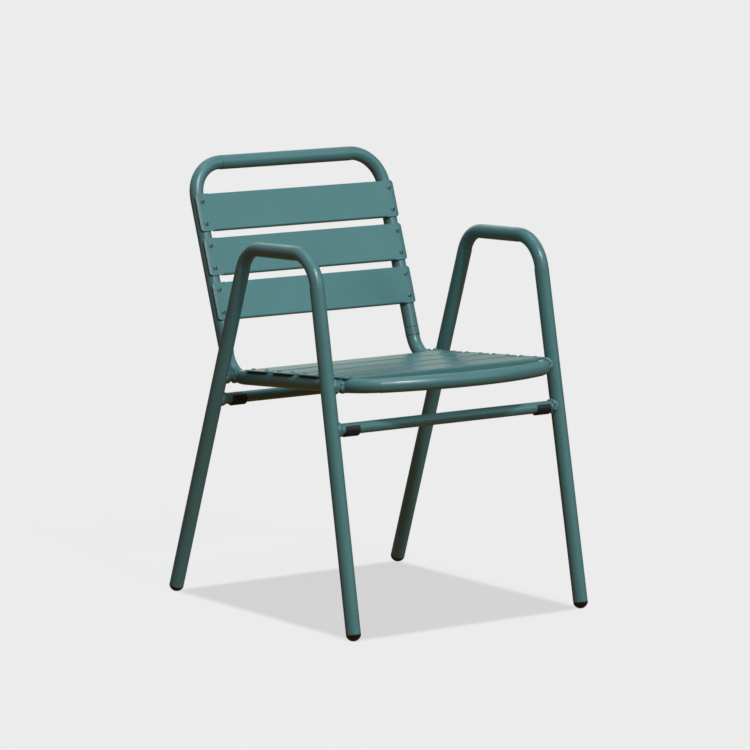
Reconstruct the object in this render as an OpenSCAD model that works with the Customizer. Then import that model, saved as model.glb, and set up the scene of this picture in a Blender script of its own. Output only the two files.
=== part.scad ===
// Stacking armchair: bent aluminium tube frame, riveted sheet slats, plastic feet and bumpers.
// Millimetres. X is the sitter's left to right seen from the front, -Y is the front, Z is up.
// The origin is on the floor, in the middle of the chair's width and depth.

/* [Overall] */
// Overall depth, from the front rail to the back of the top rail
depth = 587; // [560:1:620]
// Overall height, to the top of the back
height = 757; // [720:1:800]

/* [Tubing] */
// Outside diameter of the frame tube
tube_d = 25; // [23:0.5:27]
// Wall thickness of the frame tube
tube_wall = 1.5; // [1.2:0.1:2]
// Outside diameter of the stretchers and the weld stubs
stretcher_d = 19.5; // [17:0.5:20]
// Wall thickness of the stretchers and the weld stubs
stretcher_wall = 1.5; // [1:0.1:2]

/* [Seat loop] */
// Distance between the centrelines of the side rails
rail_spacing = 396; // [380:2:410]
// Height of the rail centreline in the middle of the seat
rail_h = 400; // [385:1:415]
// Rise of the seat towards the front, in degrees
seat_rise = 4.2; // [2:0.1:6]
// Radius of the bowed front rail
front_bow_r = 340; // [300:5:420]
// Bend radius of the front corners
front_corner_r = 60; // [50:1:70]
// Bend radius where the rails turn up into the back
lower_back_r = 52; // [45:1:60]
// Length of the straight upright stub above that bend
seam_stub = 14; // [13:1:20]
// Depth of the groove round the seam between the seat tube and the back tube
seam_groove = 0.6; // [0.3:0.1:0.8]

/* [Back] */
// Lean of the back from upright, in degrees
back_lean = 19; // [15:0.5:22]
// Bend radius of the two top corners
top_corner_r = 60; // [50:1:64]

/* [Side frames] */
// Front to back position of the front foot, on the leg axis at the floor
front_foot_y = -262.5; // [-275:0.5:-250]
// Front to back position of the rear foot, on the leg axis at the floor
rear_foot_y = 276.5; // [265:0.5:285]
// Front to back position of the arm's front corner
arm_front_y = -141.5; // [-150:0.5:-130]
// Front to back position of the arm's rear corner
arm_rear_y = 54.5; // [45:0.5:60]
// Height of the arm centreline at its front corner
arm_front_h = 629.5; // [610:0.5:650]
// Height of the arm centreline at its rear corner
arm_rear_h = 622.5; // [605:0.5:645]
// Bend radius at the front of the arm
arm_front_r = 63; // [50:1:70]
// Bend radius at the rear of the arm
arm_rear_r = 52; // [45:1:60]
// Distance of the leg axes from the middle of the chair, at the floor
foot_half_track = 238.5; // [234:0.5:246]
// Distance of the arm axes from the middle of the chair
arm_half_track = 234; // [232:0.5:240]

/* [Stretchers and bumpers] */
// Height of the front stretcher
front_stretcher_h = 343.5; // [320:0.5:350]
// Height of the rear stretcher
rear_stretcher_h = 352.5; // [320:0.5:360]
// Length of a stacking bumper
bumper_len = 28; // [24:1:45]
// Thickness of a bumper under the bar
bumper_under = 3; // [2:0.5:5]
// Thickness of a bumper at its sides
bumper_side = 2; // [1.5:0.1:2.5]
// Distance from the front leg axis to the front bumper
front_bumper_gap = 22; // [16:1:40]
// Distance from the rear leg axis to the rear bumper
rear_bumper_gap = 30.5; // [16:0.5:50]

/* [Slats] */
// Width of every slat
slat_w = 66; // [60:1:70]
// Sheet thickness
sheet_t = 2; // [1.5:0.1:2.5]
// Centre spacing of the back slats
back_pitch = 78.5; // [76:0.5:80]
// Distance from the top rail centreline to the centre of the upper back slat
back_first = 89.5; // [88:0.5:96]
// Centre spacing of the seat slats
seat_pitch = 77.5; // [76:0.5:79]
// Front to back position of the rear seat slat's centre
seat_first = 69; // [66:0.5:72]
// Depth of the folded lips on the back slats
back_lip = 8; // [5:0.5:10]
// Depth of the folded lips on the seat slats
seat_lip = 13; // [8:0.5:15]
// Corner radius of the slat ends
slat_corner_r = 6; // [3:0.5:8]
// Angle that the back slat ends are bent back by, in degrees
slat_end_turn = 21.5; // [15:0.5:25]
// Bend radius of the back slat ends
slat_end_r = 30; // [25:1:40]

/* [Rivets] */
// Spacing of the two rivets in one slat end
rivet_gap = 39.5; // [36:0.5:44]
// Diameter of the domed rivet head
rivet_head_d = 9.2; // [7:0.1:10]
// Height of the domed rivet head
rivet_head_h = 2.6; // [1.8:0.1:3]
// Diameter of the rivet shank
rivet_d = 4.8; // [4:0.1:5]
// Diameter of the hollow left by the rivet's mandrel
mandrel_d = 3.2; // [2:0.1:3.4]

/* [Feet] */
// Radius of the domed foot cap
cap_r = 13; // [12.8:0.1:14]
// Height of the small flat worn on the dome
cap_flat = 0.4; // [0.2:0.1:0.6]
// Length of the plug inside the leg
plug_len = 16; // [10:1:25]

/* [Hidden] */
$fn = 64;

paint = "#4b7b7a";
black_plastic = "#1c1c1e";
bare_aluminium = "#b9bdc1";

gap = 0.05; // clearance between pieces that fit round or inside each other
rivet_hole_d = rivet_d + 0.2;
tight_bend_r = 100; // bends under this radius draw the tube down
bend_draw = 0.5; // how much a tight bend takes off the tube's radius
bend_shift = 0.3; // how far that leaves the tube's middle towards the outside of the bend
bend_lap = 1; // how far a tight bend's ends reach into its neighbours
tube_r = tube_d / 2;
bore_r = tube_r - tube_wall;
stretcher_r = stretcher_d / 2;
rail_x = rail_spacing / 2;
front_rail_y = tube_r - depth / 2;
top_rail_y = depth / 2 - tube_r;
top_rail_z = height - tube_r;

// Side view: the rail and the upright meet at a corner that the lower back bend rounds off
rail_slope = tan(seat_rise);
corner_z = (rail_h - rail_slope * (top_rail_y - tan(back_lean) * top_rail_z))
    / (1 + rail_slope * tan(back_lean));
corner_y = top_rail_y - tan(back_lean) * (top_rail_z - corner_z);
lower_turn = 90 - back_lean + seat_rise;
lower_tangent = lower_back_r * tan(lower_turn / 2);
bend_start_y = corner_y - lower_tangent * cos(seat_rise);
bend_start_z = rail_z(bend_start_y);
bend_centre = [
    bend_start_y + lower_back_r * sin(seat_rise),
    bend_start_z + lower_back_r * cos(seat_rise),
];
seam_up = lower_tangent + seam_stub;
seam_y = corner_y + seam_up * sin(back_lean);
seam_z = corner_z + seam_up * cos(back_lean);
upright_len = (top_rail_z - seam_z) / cos(back_lean);

// Plan view: the front rail is one large arc between two corner arcs
bow_half = asin((rail_x - front_corner_r) / (front_bow_r - front_corner_r));
bow_depth = front_bow_r * (1 - cos(bow_half)) + front_corner_r * cos(bow_half);
rail_len = (bend_start_y - front_rail_y) / cos(seat_rise) - bow_depth;

// Side frames, in their own leaning plane
side_lean = atan((foot_half_track - arm_half_track) / arm_front_h);
front_rake = atan((arm_front_y - front_foot_y) / arm_front_h);
rear_rake = atan((rear_foot_y - arm_rear_y) / arm_rear_h);
arm_drop = atan((arm_front_h - arm_rear_h) / (arm_rear_y - arm_front_y));
front_turn = 90 - front_rake + arm_drop;
rear_turn = 90 - rear_rake - arm_drop;
front_tangent = arm_front_r * tan(front_turn / 2);
rear_tangent = arm_rear_r * tan(rear_turn / 2);
arm_len = norm([arm_rear_y - arm_front_y, arm_front_h - arm_rear_h]);
cap_centre_h = cap_r - cap_flat;
cap_edge = 2; // distance from the dome's centre down to the end of the tube
front_cut = cap_centre_h / cos(front_rake) - cap_edge;
rear_cut = cap_centre_h / cos(rear_rake) - cap_edge;
front_leg_len = arm_front_h / cos(front_rake) - front_tangent - front_cut;
rear_leg_len = arm_rear_h / cos(rear_rake) - rear_tangent - rear_cut;

// Where each leg crosses the seat loop, in side view
front_cross_z = (rail_h - rail_slope * front_foot_y) / (1 + rail_slope * tan(front_rake));
front_cross = [front_leg_y(front_cross_z), front_cross_z];
to_bend = [rear_foot_y - bend_centre[0], -bend_centre[1]];
along_leg = [-sin(rear_rake), cos(rear_rake)];
rear_run = -to_bend * along_leg - sqrt(pow(to_bend * along_leg, 2) - to_bend * to_bend + pow(lower_back_r, 2));
rear_cross = [rear_foot_y + along_leg[0] * rear_run, along_leg[1] * rear_run];

function rail_z(y) = rail_h - rail_slope * y;
function front_leg_y(z) = front_foot_y + z * tan(front_rake);
function rear_leg_y(z) = rear_foot_y - z * tan(rear_rake);
function leg_x(z) = foot_half_track - z * tan(side_lean);

// ---- shared shapes ----

module ring(r, wall) {
    difference() {
        circle(r);
        if (wall > 0) circle(r - wall);
    }
}

// Each step is [straight length, bend radius, bend angle, roll before the next step].
// The tube starts along +X and bends towards +Y. A wall of 0 gives a solid bar.
module bent_tube(steps, wall, i = 0) {
    if (i < len(steps)) {
        run = steps[i][0];
        r = steps[i][1];
        turn = steps[i][2];
        tight = r < tight_bend_r;
        draw = tight ? bend_draw : 0;
        shift = tight ? bend_shift : 0;
        lap = tight && r > 0 ? bend_lap / r * 180 / PI : 0;
        if (run > 0)
            rotate([0, 90, 0]) linear_extrude(run) ring(tube_r, wall);
        if (turn > 0)
            translate([run, r, 0]) rotate([0, 0, -90 - lap])
                rotate_extrude(angle = turn + 2 * lap) translate([r + shift, 0])
                    ring(tube_r - draw, wall);
        translate([run + r * sin(turn), r * (1 - cos(turn)), 0])
            rotate([0, 0, turn]) rotate([steps[i][3], 0, 0])
                bent_tube(steps, wall, i + 1);
    }
}

// Frame with X along the slat, Y up the back from the top rail and Z out of the front of the back
module on_back() {
    translate([0, top_rail_y, top_rail_z]) rotate([90 - back_lean, 0, 0]) children();
}

// Frame with X along the slat, Y to the rear and Z up out of the seat, at a place on the rails
module on_seat(y) {
    translate([0, y, rail_z(y)]) rotate([-seat_rise, 0, 0]) children();
}

module both_sides() {
    children();
    mirror([1, 0, 0]) children();
}

module left_side_plane() {
    translate([-foot_half_track, 0, 0]) rotate([0, side_lean, 0]) children();
}

module rivet_places() {
    for (x = [-rail_x, rail_x], y = [-rivet_gap / 2, rivet_gap / 2])
        translate([x, y, 0]) children();
}

module rivet_holes() {
    rivet_places() cylinder(d = rivet_hole_d, h = tube_r + sheet_t + 1);
}

function seat_slat_y(i) = seat_first - i * seat_pitch;
function back_slat_drop(i) = back_first + i * back_pitch;

module seat_slat_places(first = 0, last = 3) {
    for (i = [first:last]) on_seat(seat_slat_y(i)) children();
}

module back_slat_places(first = 0, last = 2) {
    for (i = [first:last]) on_back() translate([0, -back_slat_drop(i), 0]) children();
}

// ---- frame tubes ----

module back_tube(wall) {
    translate([-rail_x, seam_y, seam_z]) rotate([-back_lean, 0, 0])
        rotate([0, 0, -90]) rotate([0, -90, 0])
            bent_tube([
                [upright_len - top_corner_r, top_corner_r, 90, 0],
                [rail_spacing - 2 * top_corner_r, top_corner_r, 90, 0],
                [upright_len - top_corner_r, 0, 0, 0],
            ], wall);
}

module seat_tube(wall) {
    translate([-rail_x, seam_y, seam_z]) rotate([-back_lean, 0, 0])
        rotate([0, 0, 180]) rotate([0, 90, 0])
            bent_tube([
                [seam_stub, lower_back_r, lower_turn, -90],
                [rail_len, front_corner_r, 90 - bow_half, 0],
                [0, front_bow_r, 2 * bow_half, 0],
                [0, front_corner_r, 90 - bow_half, 0],
                [rail_len, 0, 0, 90],
                [0, lower_back_r, lower_turn, 0],
                [seam_stub, 0, 0, 0],
            ], wall);
}

module left_side_tube(wall) {
    left_side_plane() translate([0, front_foot_y, 0]) rotate([-front_rake, 0, 0])
        translate([0, 0, front_cut]) rotate([0, -90, 0])
            bent_tube([
                [front_leg_len, arm_front_r, front_turn, 0],
                [arm_len - front_tangent - rear_tangent, arm_rear_r, rear_turn, 0],
                [rear_leg_len, 0, 0, 0],
            ], wall);
}

// V groove left by the rounded tube ends where they butt together
module seam_grooves() {
    reach = seam_groove + 1;
    both_sides() translate([-rail_x, seam_y, seam_z]) rotate([-back_lean, 0, 0])
        rotate_extrude() translate([tube_r - seam_groove, 0])
            polygon([[0, 0], [reach, -reach], [reach, reach]]);
}

module back_frame() {
    color(paint) difference() {
        back_tube(tube_wall);
        seam_grooves();
        back_slat_places() rivet_holes();
    }
}

module seat_frame() {
    color(paint) difference() {
        seat_tube(tube_wall);
        seam_grooves();
        seat_slat_places() rivet_holes();
    }
}

// Inner tube that holds the back frame in line with the seat frame at the seam
module joining_sleeve() {
    sleeve_up = 30;
    sleeve_down = seam_stub - 2;
    sleeve_wall = 2;
    color(bare_aluminium)
        translate([-rail_x, seam_y, seam_z]) rotate([-back_lean, 0, 0])
            translate([0, 0, -sleeve_down])
                linear_extrude(sleeve_up + sleeve_down) ring(bore_r - gap, sleeve_wall);
}

module side_frame() {
    color(paint) left_side_tube(tube_wall);
}

// Short coped tube between a leg and the seat loop
module weld_stub(place) {
    color(paint) difference() {
        translate([-leg_x(place[1]), place[0], place[1]]) rotate([0, 90, 0])
            linear_extrude(leg_x(place[1]) - rail_x) ring(stretcher_r, stretcher_wall);
        seat_tube(0);
        left_side_tube(0);
    }
}

module stretcher(y, z) {
    color(paint) difference() {
        translate([-leg_x(z), y, z]) rotate([0, 90, 0])
            linear_extrude(2 * leg_x(z)) ring(stretcher_r, stretcher_wall);
        both_sides() left_side_tube(0);
    }
}

// ---- plastic pieces ----

// Snap-on bumper, open at the top, with grip ribs along its underside
module bumper(start, y, z) {
    outer_r = stretcher_r + bumper_side;
    drop = bumper_under - bumper_side;
    mouth = 0.95 * stretcher_d;
    rib_w = 1.2;
    rib_h = 0.5;
    color(black_plastic)
        translate([-leg_x(z) + start, y, z]) rotate([90, 0, 90]) linear_extrude(bumper_len)
            difference() {
                union() {
                    translate([0, -drop]) circle(outer_r);
                    for (a = [-60:20:60])
                        translate([0, -drop]) rotate(a - 90)
                            translate([outer_r - 1, -rib_w / 2]) square([1 + rib_h, rib_w]);
                }
                circle(stretcher_r + gap);
                translate([-mouth / 2, 0]) square([mouth, 2 * outer_r]);
            }
}

// Domed cap with a hollow plug that fits inside the leg
module foot_cap(foot_y, rake) {
    plug_wall = 2;
    color(black_plastic) difference() {
        left_side_plane() translate([0, foot_y, 0]) rotate([rake, 0, 0])
            translate([0, 0, cap_centre_h / cos(rake)]) {
                intersection() {
                    sphere(cap_r);
                    translate([0, 0, -2 * cap_r]) cylinder(r = tube_r, h = 2 * cap_r - cap_edge);
                }
                translate([0, 0, -cap_edge]) linear_extrude(plug_len) ring(bore_r - gap, plug_wall);
            }
        translate([-foot_half_track, foot_y, -cap_r / 2]) cube([4 * cap_r, 4 * cap_r, cap_r], center = true);
    }
}

// ---- slats ----

module rounded_plate(length, width, r) {
    for (x = [-1, 1], y = [-1, 1])
        translate([x * (length / 2 - r), y * (width / 2 - r)]) circle(r);
    square([length, width - 2 * r], center = true);
    square([length - 2 * r, width], center = true);
}

// Folded channel with a tongue over each tube. The lips stop short of the tubes if the tongues turn back.
// Those of a slat with flat tongues are coped to the tubes.
module slat(lip, turn) {
    fold_r = 3;
    base = tube_r + gap;
    lip_stop = turn > 0 ? tube_r + 2 : 4; // distance from the tube's middle to the end of the lips
    fold_len = rail_spacing - 2 * lip_stop;
    end_x = rail_x + (turn > 0 ? (slat_end_r + sheet_t) * sin(turn) : tube_r);
    color(paint) difference() {
        intersection() {
            union() {
                difference() {
                    translate([-fold_len / 2, 0, base + sheet_t]) rotate([90, 0, 90])
                        linear_extrude(fold_len) difference() {
                            translate([0, -lip]) union() {
                                square([slat_w, 2 * (lip - fold_r)], center = true);
                                translate([0, lip - fold_r / 2])
                                    square([slat_w - 2 * fold_r, fold_r], center = true);
                                for (s = [-1, 1])
                                    translate([s * (slat_w / 2 - fold_r), lip - fold_r])
                                        circle(fold_r);
                            }
                            translate([0, -lip - sheet_t])
                                square([slat_w - 2 * sheet_t, 2 * lip], center = true);
                            translate([0, -2 * lip]) square([slat_w + 1, 2 * lip], center = true);
                        }
                    if (turn == 0)
                        both_sides() translate([rail_x, slat_w, 0]) rotate([90, 0, 0])
                            cylinder(r = base, h = 2 * slat_w);
                }
                both_sides() translate([fold_len / 2, -slat_w / 2, base])
                    cube([(turn > 0 ? rail_x : end_x) - fold_len / 2, slat_w, sheet_t]);
                if (turn > 0)
                    both_sides() translate([rail_x, slat_w / 2, base - slat_end_r]) rotate([90, 0, 0])
                        rotate([0, 0, 90 - turn]) rotate_extrude(angle = turn)
                            translate([slat_end_r, 0]) square([sheet_t, slat_w]);
            }
            linear_extrude(4 * tube_d, center = true)
                rounded_plate(2 * end_x, slat_w, slat_corner_r);
        }
        rivet_holes();
    }
}

module back_slat(i) {
    back_slat_places(i, i) slat(back_lip, slat_end_turn);
}

module seat_slat(i) {
    seat_slat_places(i, i) slat(seat_lip, 0);
}

// ---- rivets ----

// Blind rivet: domed head, shank through sheet and tube wall, set bulb inside the tube
module rivet() {
    base = tube_r + gap + sheet_t;
    dome_r = (pow(rivet_head_d / 2, 2) + pow(rivet_head_h, 2)) / (2 * rivet_head_h);
    bulb_top = bore_r - 1;
    bulb_len = 4;
    difference() {
        union() {
            translate([0, 0, base]) intersection() {
                translate([0, 0, rivet_head_h - dome_r]) sphere(dome_r);
                cylinder(d = rivet_head_d, h = rivet_head_h + 1);
            }
            translate([0, 0, bulb_top]) cylinder(d = rivet_d, h = base - bulb_top);
            translate([0, 0, bulb_top - bulb_len]) cylinder(d = rivet_d + 2, h = bulb_len);
        }
        translate([0, 0, base - 1]) cylinder(d = mandrel_d, h = rivet_head_h + 2);
    }
}

module back_rivets() {
    color(paint) back_slat_places() rivet_places() rivet();
}

module seat_rivets() {
    color(paint) seat_slat_places() rivet_places() rivet();
}

// ---- the chair ----

front_stretcher_y = front_leg_y(front_stretcher_h);
rear_stretcher_y = rear_leg_y(rear_stretcher_h);

module front_bumper() {
    bumper(front_bumper_gap, front_stretcher_y, front_stretcher_h);
}

module rear_bumper() {
    bumper(rear_bumper_gap, rear_stretcher_y, rear_stretcher_h);
}

back_frame();
seat_frame();
joining_sleeve();  // joining_sleeve_left
mirror([1, 0, 0]) joining_sleeve();  // joining_sleeve_right
side_frame();  // side_frame_left
mirror([1, 0, 0]) side_frame();  // side_frame_right
weld_stub(front_cross);  // weld_stub_front_left
mirror([1, 0, 0]) weld_stub(front_cross);  // weld_stub_front_right
weld_stub(rear_cross);  // weld_stub_rear_left
mirror([1, 0, 0]) weld_stub(rear_cross);  // weld_stub_rear_right
stretcher(front_stretcher_y, front_stretcher_h);  // front_stretcher
stretcher(rear_stretcher_y, rear_stretcher_h);  // rear_stretcher
front_bumper();  // bumper_front_left
mirror([1, 0, 0]) front_bumper();  // bumper_front_right
rear_bumper();  // bumper_rear_left
mirror([1, 0, 0]) rear_bumper();  // bumper_rear_right
foot_cap(front_foot_y, -front_rake);  // foot_cap_front_left
mirror([1, 0, 0]) foot_cap(front_foot_y, -front_rake);  // foot_cap_front_right
foot_cap(rear_foot_y, rear_rake);  // foot_cap_rear_left
mirror([1, 0, 0]) foot_cap(rear_foot_y, rear_rake);  // foot_cap_rear_right
back_slat(0);  // back_slat_upper
back_slat(1);  // back_slat_middle
back_slat(2);  // back_slat_lower
seat_slat(0);  // seat_slat_rear
seat_slat(1);  // seat_slat_mid_rear
seat_slat(2);  // seat_slat_mid_front
seat_slat(3);  // seat_slat_front
back_rivets();
seat_rivets();
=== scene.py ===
import math

import bmesh
import bpy
from bpy.props import FloatProperty, FloatVectorProperty, IntProperty, PointerProperty, StringProperty
from mathutils import Matrix, Vector, noise


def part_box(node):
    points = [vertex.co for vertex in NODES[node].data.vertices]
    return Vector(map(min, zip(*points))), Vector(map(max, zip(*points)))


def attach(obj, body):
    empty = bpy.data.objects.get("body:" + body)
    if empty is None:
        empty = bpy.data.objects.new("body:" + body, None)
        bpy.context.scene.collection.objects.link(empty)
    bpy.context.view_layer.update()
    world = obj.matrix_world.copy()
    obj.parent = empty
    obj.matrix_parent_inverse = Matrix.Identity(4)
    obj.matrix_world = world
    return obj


bl_info = {
    "name": "Stacking armchair finishes",
    "version": (1, 0, 0),
    "blender": (4, 5, 0),
    "location": "View3D > Sidebar > Armchair",
    "description": "Powder coat, plastics, weld beads and a studio for a riveted tube and slat armchair",
    "category": "Object",
}

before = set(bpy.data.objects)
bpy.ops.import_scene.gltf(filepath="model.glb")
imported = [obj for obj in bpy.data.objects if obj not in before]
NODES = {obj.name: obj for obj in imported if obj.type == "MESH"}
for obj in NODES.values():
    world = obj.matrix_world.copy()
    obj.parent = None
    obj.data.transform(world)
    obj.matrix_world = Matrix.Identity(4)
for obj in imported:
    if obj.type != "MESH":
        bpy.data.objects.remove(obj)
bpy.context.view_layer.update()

FRAME_TUBES = ("back_frame", "seat_frame", "side_frame_left", "side_frame_right")
SMALL_TUBES = (
    "front_stretcher", "rear_stretcher",
    "weld_stub_front_left", "weld_stub_front_right",
    "weld_stub_rear_left", "weld_stub_rear_right",
)
SLATS = (
    "back_slat_upper", "back_slat_middle", "back_slat_lower",
    "seat_slat_rear", "seat_slat_mid_rear", "seat_slat_mid_front", "seat_slat_front",
)
RIVETS = ("back_rivets", "seat_rivets")
BUMPERS = ("bumper_front_left", "bumper_front_right", "bumper_rear_left", "bumper_rear_right")
FOOT_CAPS = (
    "foot_cap_front_left", "foot_cap_front_right",
    "foot_cap_rear_left", "foot_cap_rear_right",
)
SLEEVES = ("joining_sleeve_left", "joining_sleeve_right")


def mm(value):
    return value / 1000


# Sizes the solids are made to, in metres and radians
TUBE_R = mm(12.5)
STRETCHER_R = mm(9.75)
RAIL_X = mm(198)
LEG_X_FLOOR, LEG_X_ARM = mm(238.5), mm(234)
FRONT_FOOT_Y, FRONT_ARM_Y, FRONT_ARM_Z = mm(-262.5), mm(-141.5), mm(629.5)
REAR_FOOT_Y, REAR_ARM_Y, REAR_ARM_Z = mm(276.5), mm(54.5), mm(622.5)
RAIL_Z, SEAT_RISE = mm(400), math.radians(4.2)
BACK_LEAN, LOWER_BEND_R = math.radians(19), mm(52)
TOP_RAIL_Y, TOP_RAIL_Z = mm(281), mm(744.5)
BEND_DRAW, BEND_SHIFT = mm(0.5), mm(0.3)
SEAT_SLATS, SEAT_SLAT_Y, SEAT_SLAT_PITCH = 4, mm(69), mm(77.5)
BACK_SLATS, BACK_SLAT_DROP, BACK_SLAT_PITCH = 3, mm(89.5), mm(78.5)
RIVET_OFFSET = mm(19.75)

# Snapped mandrels: where they stand above the tube's axis, their length, both radii and the broken dip
MANDREL_START, MANDREL_LENGTH = TUBE_R + mm(1.3), mm(1.2)
MANDREL_R, MANDREL_TIP_R = mm(1.57), mm(1.2)
DIP_RIM, DIP_DEPTH = mm(0.4), mm(-0.2)

# Weld beads: faces round the bead and along it, how close to the axis the saddle is followed, how far
# the bead stands off the corner, and the size and place of its lumps
BEAD_SIDES, BEAD_STEPS = 10, 144
SADDLE_REACH = 0.98
CORNER_LIFT, RING_LIFT = 0.25, 0.6
LUMP_RATE, LUMP_PLACE = 2.2, 300
RIPPLE_SHARE, LUMP_SHARE = 0.4, 2.6

# Radius at which the paint rounds each kind of edge
TUBE_EDGE, SHEET_EDGE, RIVET_EDGE, WELD_EDGE = mm(2.5), mm(0.7), mm(0.4), mm(0.2)

# Real widths of the patterns in the finishes
CHALK_PATCH, HAND_PATCH = mm(150), mm(35)
RUB_PATCH, SPARK_GRAIN = mm(14), mm(0.6)
SCUFF_MARK, SCUFF_TOP = mm(2.5), mm(4)
DRAWN_LINE, LINE_STRETCH = mm(0.8), 0.03
BROKEN_GRAIN = mm(0.5)
PAPER_FIBRE = mm(2)

# How much smoother than the middle the coat is where hands polish it, and how much rougher elsewhere
POLISHED, DULLED = 0.05, 0.07

# The sweep's steps up its curve and round the chair, and the share of its radius that curves
SWEEP_CURVE_STEPS, SWEEP_TURN_STEPS, SWEEP_BEND = 16, 64, 1 / 3

# Heights of the glow's middle tones, from 0 straight below to 1 straight above
SIDE_GLOW_AT, HIGH_GLOW_AT = 0.58, 0.8

CAMERA_PLACE = (-4.4497, -6.1872, 1.5083)
CAMERA_DROP, CAMERA_TURN = math.radians(8.328), math.radians(-35.676)
CAMERA_LENS_MM, SENSOR_MM = 215.5, 36.0
CAMERA_CLIP = 400.0


def box_middle(name):
    low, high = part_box(name)
    return (low + high) / 2


# ---- colours and nodes ----


def linear(hex_colour):
    """An sRGB hex colour as linear red, green, blue and alpha."""
    channels = (int(hex_colour[i:i + 2], 16) / 255 for i in (1, 3, 5))
    return (*(c / 12.92 if c <= 0.04045 else ((c + 0.055) / 1.055) ** 2.4 for c in channels), 1.0)


def add(tree, kind, settings=None, **inputs):
    """Adds a node. settings are its properties; inputs are socket names with a value or a socket to link."""
    made = tree.nodes.new(kind)
    for name, value in (settings or {}).items():
        setattr(made, name, value)
    for name, value in inputs.items():
        socket = made.inputs[int(name[1:]) if name[1:].isdigit() else name.replace("_", " ")]
        if isinstance(value, bpy.types.NodeSocket):
            tree.links.new(value, socket)
        else:
            socket.default_value = value
    return made


def new_material(name, preview):
    """An empty node material; preview is the viewport colour."""
    made = bpy.data.materials.new(name)
    made.use_nodes = True
    made.node_tree.nodes.clear()
    made.diffuse_color = linear(preview)
    return made


def two_tones(tree, factor, dark, light):
    """A colour ramp between two hex colours."""
    ramp = add(tree, "ShaderNodeValToRGB", Fac=factor)
    ramp.color_ramp.elements[0].color = linear(dark)
    ramp.color_ramp.elements[1].color = linear(light)
    return ramp


# Polyester powder coat on aluminium tube, sprayed and baked: an even satin teal whose fine orange peel
# breaks up the highlights, a little paler where the sun has chalked it.
def powder_coat(name, settings, edge):
    made = new_material(name, settings.paint_light)
    tree = made.node_tree
    place = add(tree, "ShaderNodeTexCoord").outputs["Object"]
    chalk = add(tree, "ShaderNodeTexNoise", Vector=place, Scale=1 / CHALK_PATCH, Detail=2.0, Roughness=0.5)
    tone = two_tones(tree, chalk.outputs["Fac"], settings.paint_dark, settings.paint_light)
    tone.color_ramp.elements[0].position = 0.25
    tone.color_ramp.elements[1].position = 0.75
    # Real orange peel is about 1 mm across; it is drawn coarser so that it shows from a few metres.
    peel = add(
        tree, "ShaderNodeTexNoise", Vector=place, Scale=1 / settings.peel_size, Detail=2.0, Roughness=0.45)
    hand_wear = add(
        tree, "ShaderNodeTexNoise", Vector=place, Scale=1 / HAND_PATCH, Detail=4.0, Roughness=0.65)
    gloss = add(
        tree, "ShaderNodeMapRange", Value=hand_wear.outputs["Fac"],
        To_Min=settings.paint_roughness - POLISHED, To_Max=settings.paint_roughness + DULLED,
    )
    rounded = add(tree, "ShaderNodeBevel", {"samples": 4}, Radius=edge)
    bumped = add(
        tree, "ShaderNodeBump", Strength=settings.peel_strength, Distance=mm(0.12),
        Height=peel.outputs["Fac"], Normal=rounded.outputs["Normal"],
    )
    skin = add(
        tree, "ShaderNodeBsdfPrincipled", Base_Color=tone.outputs["Color"],
        Roughness=gloss.outputs["Result"], IOR=1.5, Coat_Weight=0.12, Coat_Roughness=0.22,
        Normal=bumped.outputs["Normal"],
    )
    add(tree, "ShaderNodeOutputMaterial", Surface=skin.outputs["BSDF"])
    return made


# Polypropylene bumper, moulded with a spark-eroded grain: matte black that greys where it rubs.
def moulded_polypropylene(name, settings):
    made = new_material(name, settings.plastic_light)
    tree = made.node_tree
    place = add(tree, "ShaderNodeTexCoord").outputs["Object"]
    rub = add(tree, "ShaderNodeTexNoise", Vector=place, Scale=1 / RUB_PATCH, Detail=5.0, Roughness=0.7)
    tone = two_tones(tree, rub.outputs["Fac"], settings.plastic_dark, settings.plastic_light)
    tone.color_ramp.elements[0].position = 0.45
    tone.color_ramp.elements[1].position = 0.8
    grain = add(tree, "ShaderNodeTexNoise", Vector=place, Scale=1 / SPARK_GRAIN, Detail=2.0)
    bumped = add(tree, "ShaderNodeBump", Strength=0.35, Distance=mm(0.1), Height=grain.outputs["Fac"])
    skin = add(
        tree, "ShaderNodeBsdfPrincipled", Base_Color=tone.outputs["Color"], Roughness=0.52, IOR=1.49,
        Normal=bumped.outputs["Normal"],
    )
    add(tree, "ShaderNodeOutputMaterial", Surface=skin.outputs["BSDF"])
    return made


# Polyethylene foot cap, polished in the mould: near-black and half glossy, scuffed grey towards the floor.
def scuffed_polyethylene(name, settings):
    made = new_material(name, settings.plastic_dark)
    tree = made.node_tree
    place = add(tree, "ShaderNodeTexCoord").outputs["Object"]
    height = add(tree, "ShaderNodeSeparateXYZ", Vector=place).outputs["Z"]
    low = add(tree, "ShaderNodeMapRange", Value=height, From_Max=SCUFF_TOP, To_Min=1.0, To_Max=0.0)
    scuff = add(tree, "ShaderNodeTexNoise", Vector=place, Scale=1 / SCUFF_MARK, Detail=5.0, Roughness=0.75)
    worn = add(
        tree, "ShaderNodeMath", {"operation": "MULTIPLY"},
        _0=low.outputs["Result"], _1=scuff.outputs["Fac"],
    )
    tone = two_tones(tree, worn.outputs["Value"], settings.plastic_dark, settings.scuff)
    gloss = add(tree, "ShaderNodeMapRange", Value=worn.outputs["Value"], To_Min=0.28, To_Max=0.62)
    bumped = add(tree, "ShaderNodeBump", Strength=0.25, Distance=mm(0.15), Height=scuff.outputs["Fac"])
    skin = add(
        tree, "ShaderNodeBsdfPrincipled", Base_Color=tone.outputs["Color"],
        Roughness=gloss.outputs["Result"], IOR=1.51, Normal=bumped.outputs["Normal"],
    )
    add(tree, "ShaderNodeOutputMaterial", Surface=skin.outputs["BSDF"])
    return made


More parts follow.
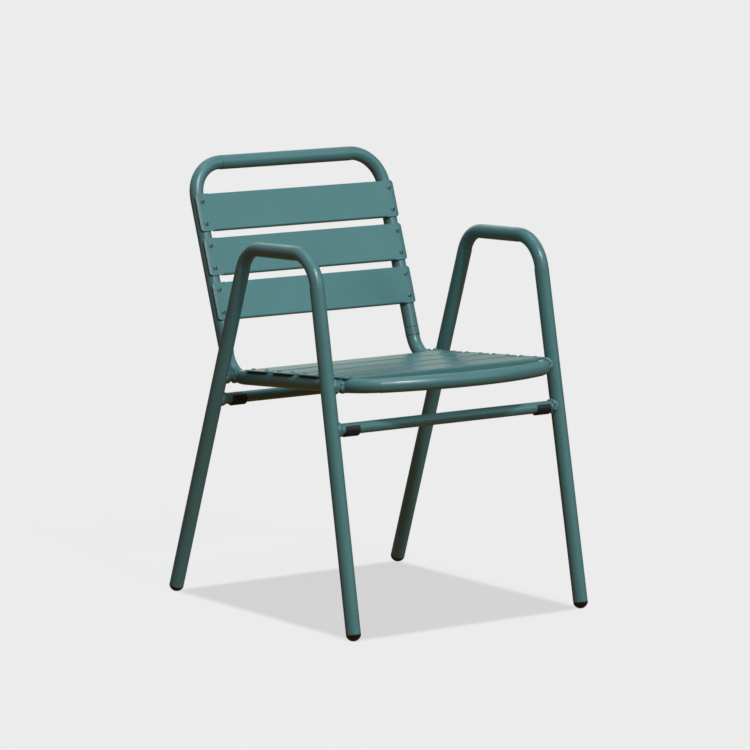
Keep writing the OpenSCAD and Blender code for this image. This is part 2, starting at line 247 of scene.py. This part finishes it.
# Mill finish aluminium tube, drawn through a die: bright grey with faint lines along its length.
def mill_finish_aluminium(name):
    made = new_material(name, "#b9bdc1")
    tree = made.node_tree
    place = add(tree, "ShaderNodeTexCoord").outputs["Object"]
    along = add(
        tree, "ShaderNodeMapping", Vector=place, Rotation=(BACK_LEAN, 0.0, 0.0),
        Scale=(1.0, 1.0, LINE_STRETCH),
    )
    lines = add(
        tree, "ShaderNodeTexNoise", Vector=along.outputs["Vector"], Scale=1 / DRAWN_LINE, Detail=2.0)
    tone = two_tones(tree, lines.outputs["Fac"], "#a9adb1", "#c4c8cc")
    gloss = add(tree, "ShaderNodeMapRange", Value=lines.outputs["Fac"], To_Min=0.26, To_Max=0.42)
    skin = add(
        tree, "ShaderNodeBsdfPrincipled", Base_Color=tone.outputs["Color"], Metallic=1.0,
        Roughness=gloss.outputs["Result"],
    )
    add(tree, "ShaderNodeOutputMaterial", Surface=skin.outputs["BSDF"])
    return made


# Broken end of a steel rivet mandrel, left rough: a near-black speck in the rivet's hole, partly dark steel
# and partly painted shade of the hole.
def snapped_steel_painted_shade(name):
    made = new_material(name, "#0c0c0d")
    tree = made.node_tree
    place = add(tree, "ShaderNodeTexCoord").outputs["Object"]
    grain = add(tree, "ShaderNodeTexNoise", Vector=place, Scale=1 / BROKEN_GRAIN, Detail=3.0)
    # Painted shade: these near-black tones stand in for the shade deep in the rivet's hole as well as for
    # the steel
    tone = two_tones(tree, grain.outputs["Fac"], "#050506", "#1b1b1c")
    bumped = add(tree, "ShaderNodeBump", Strength=0.6, Distance=mm(0.1), Height=grain.outputs["Fac"])
    skin = add(
        tree, "ShaderNodeBsdfPrincipled", Base_Color=tone.outputs["Color"], Metallic=0.4, Roughness=0.6,
        Normal=bumped.outputs["Normal"],
    )
    add(tree, "ShaderNodeOutputMaterial", Surface=skin.outputs["BSDF"])
    return made


# Seamless matt paper sweep: an even pale grey glow, with a painted shade between the four feet:
# a soft-edged darker rectangle in the glow that stands in for the shadow under a chair.
def pale_paper_with_painted_shade(name, settings):
    made = new_material(name, settings.floor_glow_colour)
    tree = made.node_tree
    place = add(tree, "ShaderNodeTexCoord").outputs["Object"]
    # Painted shade: a soft-edged rectangle between the four feet, where the glow darkens as if shaded
    split = add(tree, "ShaderNodeSeparateXYZ", Vector=place)
    half_depth = (REAR_FOOT_Y - FRONT_FOOT_Y) / 2
    from_middle = add(
        tree, "ShaderNodeMath", {"operation": "SUBTRACT"},
        _0=split.outputs["Y"], _1=REAR_FOOT_Y - half_depth,
    )
    painted_shade_edges = []
    for away, half in ((split.outputs["X"], LEG_X_FLOOR), (from_middle.outputs["Value"], half_depth)):
        size = add(tree, "ShaderNodeMath", {"operation": "ABSOLUTE"}, _0=away)
        painted_shade_edges.append(add(
            tree, "ShaderNodeMapRange", {"interpolation_type": "SMOOTHSTEP"}, Value=size.outputs["Value"],
            From_Min=half - settings.shade_blur / 2, From_Max=half + settings.shade_blur / 2,
            To_Min=1.0, To_Max=0.0,
        ).outputs["Result"])
    painted_shade_mask = add(tree, "ShaderNodeMath", {"operation": "MULTIPLY"}, _0=painted_shade_edges[0], _1=painted_shade_edges[1])
    # Inside the rectangle the glow turns to the shade colour: painted shade, not a cast shadow
    glow = two_tones(tree, painted_shade_mask.outputs["Value"], settings.floor_glow_colour, settings.shade_colour)
    fibre = add(tree, "ShaderNodeTexNoise", Vector=place, Scale=1 / PAPER_FIBRE, Detail=2.0)
    bumped = add(tree, "ShaderNodeBump", Strength=0.05, Distance=mm(0.1), Height=fibre.outputs["Fac"])
    matt = add(
        tree, "ShaderNodeBsdfPrincipled", Base_Color=linear(settings.floor_colour), Roughness=0.95,
        Specular_IOR_Level=0.0, Normal=bumped.outputs["Normal"],
        Emission_Color=glow.outputs["Color"], Emission_Strength=settings.floor_glow,
    )
    add(tree, "ShaderNodeOutputMaterial", Surface=matt.outputs["BSDF"])
    return made


# ---- pieces ----


def paint(names, material):
    """Gives CAD nodes a material, leaving their mesh alone."""
    for name in names:
        slots = NODES[name].data.materials
        slots.clear()
        slots.append(material)


def finished_piece(mesh, name, material):
    """Turns a bmesh into a smooth piece that rides on the chair."""
    data = bpy.data.meshes.new(name)
    bmesh.ops.recalc_face_normals(mesh, faces=mesh.faces)
    mesh.to_mesh(data)
    mesh.free()
    data.shade_smooth()
    data.materials.append(material)
    made = bpy.data.objects.new(name, data)
    bpy.context.scene.collection.objects.link(made)
    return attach(made, "root")


def leg_x(z):
    """Distance of a leg's axis from the middle of the chair at a height."""
    return LEG_X_FLOOR - (LEG_X_FLOOR - LEG_X_ARM) * z / FRONT_ARM_Z


def off_leg(y, z, foot_y, arm_y, arm_z):
    """Distance from a leg's axis in side view; the leg runs from its foot on the floor to its arm."""
    along = Vector((arm_y - foot_y, arm_z)).normalized()
    return abs((y - foot_y) * along.y - z * along.x)


def off_front_leg(y, z):
    return off_leg(y, z, FRONT_FOOT_Y, FRONT_ARM_Y, FRONT_ARM_Z)


def off_rear_leg(y, z):
    return off_leg(y, z, REAR_FOOT_Y, REAR_ARM_Y, REAR_ARM_Z)


def off_rail(y, z):
    """Distance from the side rail's axis in side view."""
    return abs((z - RAIL_Z) * math.cos(SEAT_RISE) + y * math.sin(SEAT_RISE))


def lower_bend_centre():
    """Centre of the bend between rail and upright in side view."""
    slope = math.tan(SEAT_RISE)
    lean = math.tan(BACK_LEAN)
    corner_z = (RAIL_Z - slope * (TOP_RAIL_Y - lean * TOP_RAIL_Z)) / (1 + slope * lean)
    corner_y = TOP_RAIL_Y - lean * (TOP_RAIL_Z - corner_z)
    back_off = LOWER_BEND_R * math.tan((math.pi / 2 - BACK_LEAN + SEAT_RISE) / 2)
    start_y = corner_y - back_off * math.cos(SEAT_RISE)
    start_z = RAIL_Z - slope * start_y
    return start_y + LOWER_BEND_R * math.sin(SEAT_RISE), start_z + LOWER_BEND_R * math.cos(SEAT_RISE)


def off_lower_bend(y, z):
    """Distance from the lower bend's axis in side view."""
    centre = lower_bend_centre()
    return abs(math.hypot(y - centre[0], z - centre[1]) - LOWER_BEND_R - BEND_SHIFT)


def weld_bead(mesh, middle, tube_x, tube_r, off_axis, towards, settings):
    """Lays a rippled fillet round a small tube where it meets a larger one.

    middle is the small tube's y and z, tube_x and tube_r place the large tube, off_axis gives the
    distance from its axis in side view, and towards is the way from it along X, +1 or -1.
    """
    r = settings.bead_size / 2
    ring = bmesh.ops.create_circle(mesh, segments=BEAD_SIDES, radius=r, cap_ends=False)
    bmesh.ops.rotate(mesh, verts=ring["verts"], cent=(0, 0, 0), matrix=Matrix.Rotation(math.pi / 2, 3, "X"))
    bmesh.ops.translate(mesh, verts=ring["verts"], vec=(0, 0, STRETCHER_R))
    edges = list(dict.fromkeys(e for v in ring["verts"] for e in v.link_edges))
    bmesh.ops.spin(
        mesh, geom=ring["verts"] + edges, cent=(0, 0, 0), axis=(1, 0, 0),
        angle=math.tau, steps=BEAD_STEPS, use_merge=True,
    )
    around = set()
    for face in mesh.faces:
        # The beads laid before this one are tagged, and stay where they are.
        if not face.tag:
            around.update(face.verts)
            face.tag = True
    ripples = round(math.tau * STRETCHER_R / settings.ripple_spacing)
    for v in around:
        turn = math.atan2(v.co.y, v.co.z)
        lumps = noise.noise(Vector((
            LUMP_RATE * math.cos(turn), LUMP_RATE * math.sin(turn), LUMP_PLACE * (tube_x + middle[0]),
        )))
        wave = RIPPLE_SHARE * math.cos(ripples * turn) + LUMP_SHARE * lumps
        swell = 1 + settings.ripple_height * wave
        out = (math.hypot(v.co.y, v.co.z) - STRETCHER_R) * swell * settings.bead_rise
        y = middle[0] + STRETCHER_R * math.sin(turn)
        z = middle[1] + STRETCHER_R * math.cos(turn)
        off = min(off_axis(y, z), tube_r * SADDLE_REACH)
        saddle = math.sqrt(tube_r ** 2 - off ** 2)
        lift = r * CORNER_LIFT
        reach = STRETCHER_R + lift * RING_LIFT + out
        v.co = (
            tube_x + towards * (saddle + lift) + v.co.x * swell * settings.bead_spread,
            middle[0] + reach * math.sin(turn),
            middle[1] + reach * math.cos(turn),
        )


def rivet_spots():
    """Middle and outward direction of every rivet, from the slats' own rows of holes."""
    spots = []
    seat_out = Vector((0, math.sin(SEAT_RISE), math.cos(SEAT_RISE)))
    seat_along = Vector((0, math.cos(SEAT_RISE), -math.sin(SEAT_RISE)))
    for i in range(SEAT_SLATS):
        y = SEAT_SLAT_Y - i * SEAT_SLAT_PITCH
        middle = Vector((0, y, RAIL_Z - math.tan(SEAT_RISE) * y))
        spots += [(middle + seat_along * s * RIVET_OFFSET, seat_out) for s in (-1, 1)]
    back_out = Vector((0, -math.cos(BACK_LEAN), math.sin(BACK_LEAN)))
    down = Vector((0, -math.sin(BACK_LEAN), -math.cos(BACK_LEAN)))
    top = Vector((0, TOP_RAIL_Y, TOP_RAIL_Z))
    for i in range(BACK_SLATS):
        middle = top + down * (BACK_SLAT_DROP + i * BACK_SLAT_PITCH)
        spots += [(middle + down * s * RIVET_OFFSET, back_out) for s in (-1, 1)]
    return [(spot + Vector((side * RAIL_X, 0, 0)), out) for spot, out in spots for side in (-1, 1)]


# ---- studio ----


def roll_out_sweep(scene, settings):
    """A flat paper floor that curves up far away all round."""
    radius = settings.sweep_radius
    mesh = bmesh.new()
    start = mesh.verts.new((0.0, 0.0, 0.0))
    out = bmesh.ops.extrude_vert_indiv(mesh, verts=[start])["verts"][0]
    out.co.x = radius
    bmesh.ops.spin(
        mesh, geom=[out], cent=(radius, 0, radius * SWEEP_BEND), axis=(0, -1, 0),
        angle=math.pi / 2, steps=SWEEP_CURVE_STEPS,
    )
    bmesh.ops.spin(
        mesh, geom=list(mesh.verts) + list(mesh.edges), cent=(0, 0, 0), axis=(0, 0, 1),
        angle=math.tau, steps=SWEEP_TURN_STEPS, use_merge=True,
    )
    bmesh.ops.remove_doubles(mesh, verts=mesh.verts, dist=mm(0.1))
    data = bpy.data.meshes.new("paper_sweep")
    mesh.to_mesh(data)
    mesh.free()
    data.shade_smooth()
    data.materials.append(pale_paper_with_painted_shade("pale_paper_with_painted_shade", settings))
    sweep = bpy.data.objects.new("paper_sweep", data)
    sweep.visible_diffuse = False
    sweep.visible_glossy = False
    sweep.visible_shadow = False
    scene.collection.objects.link(sweep)


def hang_lights(scene, settings):
    # Name, strength, width in degrees, direction to the light, tint
    for name, strength, width, towards, tint in (
        ("key_light", settings.key_strength, 3, (-0.06, -0.68, 0.73), (0.93, 1.0, 0.98)),
        ("front_light", settings.fill_strength, 22, (-0.12, -0.82, 0.56), (1.0, 0.78, 0.84)),
        ("softbox_right", settings.box_strength, 35, (0.55, -0.75, 0.38), (0.47, 0.96, 1.0)),
        ("back_light", settings.back_strength, 40, (0.3, 0.9, 0.3), (0.86, 1.0, 0.89)),
        ("overhead_light", settings.overhead_strength, 30, (0.0, 0.05, 1.0), (0.55, 1.0, 1.0)),
    ):
        light = bpy.data.lights.new(name, "SUN")
        light.energy = strength
        light.angle = math.radians(width)
        light.color = tint
        lamp = bpy.data.objects.new(name, light)
        lamp.rotation_euler = Vector(towards).to_track_quat("Z", "Y").to_euler()
        scene.collection.objects.link(lamp)


def glow_round(scene, settings):
    """Even light from all round, whose tone changes with height."""
    world = bpy.data.worlds.new("soft_studio")
    world.use_nodes = True
    tree = world.node_tree
    tree.nodes.clear()
    way = add(tree, "ShaderNodeTexCoord").outputs["Generated"]
    up = add(tree, "ShaderNodeSeparateXYZ", Vector=way).outputs["Z"]
    height = add(tree, "ShaderNodeMapRange", Value=up, From_Min=-1.0).outputs["Result"]
    ramp = add(tree, "ShaderNodeValToRGB", Fac=height)
    ramp.color_ramp.elements[0].color = (*settings.sky_floor, 1.0)
    ramp.color_ramp.elements[1].color = (*settings.sky_top, 1.0)
    for place, colour in ((SIDE_GLOW_AT, settings.sky_side), (HIGH_GLOW_AT, settings.sky_high)):
        ramp.color_ramp.elements.new(place).color = (*colour, 1.0)
    glow = add(tree, "ShaderNodeBackground", Color=ramp.outputs["Color"])
    add(tree, "ShaderNodeOutputWorld", Surface=glow.outputs["Background"])
    scene.world = world


def set_camera(scene):
    lens = bpy.data.cameras.new("camera")
    lens.lens = CAMERA_LENS_MM
    lens.sensor_width = SENSOR_MM
    lens.clip_end = CAMERA_CLIP
    camera = bpy.data.objects.new("camera", lens)
    camera.location = CAMERA_PLACE
    camera.rotation_euler = (math.pi / 2 - CAMERA_DROP, 0.0, CAMERA_TURN)
    scene.collection.objects.link(camera)
    scene.camera = camera


# ---- settings ----


class ArmchairPaint(bpy.types.PropertyGroup):
    paint_dark: StringProperty(
        name="Deep tone", description="Teal in the deeper patches, as sRGB hex", default="#457476")
    paint_light: StringProperty(
        name="Pale tone", description="Teal in the chalked patches, as sRGB hex", default="#4a7a7b")
    paint_roughness: FloatProperty(
        name="Roughness", description="Middle roughness of the satin coat", default=0.32, min=0.1, max=0.8,
        subtype="FACTOR")
    peel_size: FloatProperty(
        name="Orange peel", description="Width of the coat's ripples", default=0.0022, min=0.0005, max=0.01,
        unit="LENGTH")
    peel_strength: FloatProperty(
        name="Peel strength", description="Strength of the ripples", default=0.18, min=0, max=1,
        subtype="FACTOR")


class ArmchairPlastic(bpy.types.PropertyGroup):
    plastic_dark: StringProperty(
        name="Black", description="Plastic where it is clean, as sRGB hex", default="#0e1217")
    plastic_light: StringProperty(
        name="Rubbed black", description="Plastic where it is rubbed, as sRGB hex", default="#1c2329")
    scuff: StringProperty(
        name="Scuff", description="Scuffed plastic near the floor, as sRGB hex", default="#55524e")


class ArmchairWelds(bpy.types.PropertyGroup):
    bead_size: FloatProperty(
        name="Bead", description="Diameter of the weld bead before it is pressed", default=0.0074,
        min=0.002, max=0.009, unit="LENGTH")
    bead_rise: FloatProperty(
        name="Rise", description="How far the bead rises off the small tube, as a share of its round",
        default=0.6, min=0.3, max=1.2)
    bead_spread: FloatProperty(
        name="Spread", description="How far the bead spreads along the small tube, as a share of its round",
        default=1.35, min=0.5, max=2)
    ripple_spacing: FloatProperty(
        name="Ripple spacing", description="Distance between the bead's ripples", default=0.0026, min=0.001,
        max=0.006, unit="LENGTH")
    ripple_height: FloatProperty(
        name="Ripple height", description="Height of ripples and lumps as a share of the bead",
        default=0.2, min=0, max=0.5, subtype="FACTOR")


class ArmchairStudio(bpy.types.PropertyGroup):
    floor_colour: StringProperty(
        name="Floor", description="Colour of the paper's reflected part, as sRGB hex", default="#2a2a2a")
    floor_glow_colour: StringProperty(
        name="Floor glow", description="Colour the sweep gives off, as sRGB hex", default="#ececec")
    # Painted shade: the colour the sweep gives off between the feet stands in for the shadow under the chair
    shade_colour: StringProperty(
        name="Shade", description="Colour the sweep gives off between the feet, as sRGB hex",
        default="#d4d4d4")
    # Painted shade: width of the soft edge of the darker rectangle
    shade_blur: FloatProperty(
        name="Shade blur", description="Width of the shade's soft edge", default=0.03, min=0.005, max=0.2,
        unit="LENGTH")
    floor_glow: FloatProperty(
        name="Glow", description="How much of the sweep's brightness is even", default=0.97, min=0, max=1,
        subtype="FACTOR")
    key_strength: FloatProperty(
        name="Key light", description="Strength of the hard light from above the front",
        default=1.68, min=0, max=20)
    fill_strength: FloatProperty(
        name="Front light", description="Strength of the soft light from the front",
        default=0.6, min=0, max=20)
    box_strength: FloatProperty(
        name="Softbox", description="Strength of the large softbox at the right",
        default=0.37, min=0, max=20)
    back_strength: FloatProperty(
        name="Back light", description="Strength of the light off the back of the sweep",
        default=0.45, min=0, max=20)
    overhead_strength: FloatProperty(
        name="Overhead light", description="Strength of the soft light straight above",
        default=0.55, min=0, max=20)
    sky_top: FloatVectorProperty(
        name="Top glow", description="Even light from above", default=(0.45, 0.44, 0.5), size=3,
        subtype="COLOR", min=0, max=4)
    sky_high: FloatVectorProperty(
        name="High glow", description="Even light from halfway up", default=(0.43, 0.4, 0.44), size=3,
        subtype="COLOR", min=0, max=4)
    sky_side: FloatVectorProperty(
        name="Side glow", description="Even light from the sides", default=(0.13, 0.03, 0.004), size=3,
        subtype="COLOR", min=0, max=4)
    sky_floor: FloatVectorProperty(
        name="Floor light", description="Light thrown up from below", default=(0.21, 0.113, 0.035), size=3,
        subtype="COLOR", min=0, max=4)
    sweep_radius: FloatProperty(
        name="Sweep radius", description="Distance from the chair to the start of the sweep's curve",
        default=45.0, min=10, max=100, unit="LENGTH")


# ---- operators ----


class ARMCHAIR_OT_coat_tubes(bpy.types.Operator):
    """Powder coat the bent tubes, the stubs and the stretchers"""

    bl_idname = "armchair.coat_tubes"
    bl_label = "Coat tubes"

    def execute(self, context):
        coat = powder_coat("teal_powder_coat_tube", context.scene.armchair_paint, TUBE_EDGE)
        paint(FRAME_TUBES + SMALL_TUBES, coat)
        return {"FINISHED"}


class ARMCHAIR_OT_coat_slats(bpy.types.Operator):
    """Powder coat the slats, with paint-rounded sheet edges"""

    bl_idname = "armchair.coat_slats"
    bl_label = "Coat slats"

    def execute(self, context):
        coat = powder_coat("teal_powder_coat_sheet", context.scene.armchair_paint, SHEET_EDGE)
        paint(SLATS, coat)
        return {"FINISHED"}


class ARMCHAIR_OT_rivets(bpy.types.Operator):
    """Paint the rivets and set a snapped mandrel in each"""

    bl_idname = "armchair.rivets"
    bl_label = "Finish rivets"

    def execute(self, context):
        coat = powder_coat("teal_powder_coat_rivet", context.scene.armchair_paint, RIVET_EDGE)
        paint(RIVETS, coat)
        mesh = bmesh.new()
        for middle, out in rivet_spots():
            place = Matrix.Translation(middle + out * (MANDREL_START + MANDREL_LENGTH / 2))
            turned = out.to_track_quat("Z", "Y").to_matrix().to_4x4()
            pin = bmesh.ops.create_cone(
                mesh, cap_ends=True, cap_tris=False, segments=14, radius1=MANDREL_R,
                radius2=MANDREL_TIP_R, depth=MANDREL_LENGTH, matrix=place @ turned,
            )
            top = {f for v in pin["verts"] for f in v.link_faces if f.normal.dot(out) > 0.9}
            bmesh.ops.inset_region(mesh, faces=list(top), thickness=DIP_RIM, depth=DIP_DEPTH)
        finished_piece(mesh, "rivet_mandrels", snapped_steel_painted_shade("snapped_steel_painted_shade"))
        return {"FINISHED"}


class ARMCHAIR_OT_plastics(bpy.types.Operator):
    """Finish the stacking bumpers and the foot caps"""

    bl_idname = "armchair.plastics"
    bl_label = "Finish plastics"

    def execute(self, context):
        settings = context.scene.armchair_plastic
        paint(BUMPERS, moulded_polypropylene("moulded_black_polypropylene", settings))
        paint(FOOT_CAPS, scuffed_polyethylene("scuffed_black_polyethylene", settings))
        return {"FINISHED"}


class ARMCHAIR_OT_sleeves(bpy.types.Operator):
    """Finish the joining sleeves inside the uprights"""

    bl_idname = "armchair.sleeves"
    bl_label = "Finish sleeves"

    def execute(self, context):
        paint(SLEEVES, mill_finish_aluminium("mill_finish_aluminium"))
        return {"FINISHED"}


class ARMCHAIR_OT_weld_beads(bpy.types.Operator):
    """Lay the painted weld beads where the small tubes meet the large ones"""

    bl_idname = "armchair.weld_beads"
    bl_label = "Weld beads"

    def execute(self, context):
        settings = context.scene.armchair_welds
        coat = powder_coat("teal_powder_coat_weld", context.scene.armchair_paint, WELD_EDGE)
        joints = (
            ("front_stub", "weld_stub_front_left", off_front_leg, off_rail, TUBE_R),
            ("rear_stub", "weld_stub_rear_left", off_rear_leg, off_lower_bend, TUBE_R - BEND_DRAW),
            ("front_stretcher", "front_stretcher", off_front_leg, None, None),
            ("rear_stretcher", "rear_stretcher", off_rear_leg, None, None),
        )
        for name, node, off_leg, off_loop, loop_r in joints:
            spot = box_middle(node)
            middle = (spot.y, spot.z)
            mesh = bmesh.new()
            for side in (-1, 1):
                weld_bead(mesh, middle, side * leg_x(spot.z), TUBE_R, off_leg, -side, settings)
                if off_loop:
                    weld_bead(mesh, middle, side * RAIL_X, loop_r, off_loop, side, settings)
            finished_piece(mesh, "weld_beads_" + name, coat)
        return {"FINISHED"}


class ARMCHAIR_OT_studio(bpy.types.Operator):
    """Set up the paper sweep, the lights and the camera"""

    bl_idname = "armchair.studio"
    bl_label = "Studio"

    def execute(self, context):
        settings = context.scene.armchair_studio
        context.scene.view_settings.view_transform = "Standard"
        roll_out_sweep(context.scene, settings)
        hang_lights(context.scene, settings)
        glow_round(context.scene, settings)
        set_camera(context.scene)
        return {"FINISHED"}


class ARMCHAIR_PT_panel(bpy.types.Panel):
    bl_label = "Armchair"
    bl_idname = "ARMCHAIR_PT_panel"
    bl_space_type = "VIEW_3D"
    bl_region_type = "UI"
    bl_category = "Armchair"

    def draw(self, context):
        layout = self.layout
        for operator in OPERATORS:
            layout.operator(operator.bl_idname)
        for group in (
            context.scene.armchair_paint, context.scene.armchair_plastic,
            context.scene.armchair_welds, context.scene.armchair_studio,
        ):
            box = layout.box()
            for name in group.__annotations__:
                box.prop(group, name)


OPERATORS = (
    ARMCHAIR_OT_coat_tubes,
    ARMCHAIR_OT_coat_slats,
    ARMCHAIR_OT_rivets,
    ARMCHAIR_OT_plastics,
    ARMCHAIR_OT_sleeves,
    ARMCHAIR_OT_weld_beads,
    ARMCHAIR_OT_studio,
)
GROUPS = {
    "armchair_paint": ArmchairPaint,
    "armchair_plastic": ArmchairPlastic,
    "armchair_welds": ArmchairWelds,
    "armchair_studio": ArmchairStudio,
}


def register():
    for made in (*GROUPS.values(), *OPERATORS, ARMCHAIR_PT_panel):
        bpy.utils.register_class(made)
    for name, group in GROUPS.items():
        setattr(bpy.types.Scene, name, PointerProperty(type=group))


def unregister():
    for name in GROUPS:
        delattr(bpy.types.Scene, name)
    for made in reversed((*GROUPS.values(), *OPERATORS, ARMCHAIR_PT_panel)):
        bpy.utils.unregister_class(made)


def main():
    register()
    for operator in OPERATORS:
        getattr(bpy.ops.armchair, operator.bl_idname.split(".")[1])()


if __name__ == "__main__":
    main()
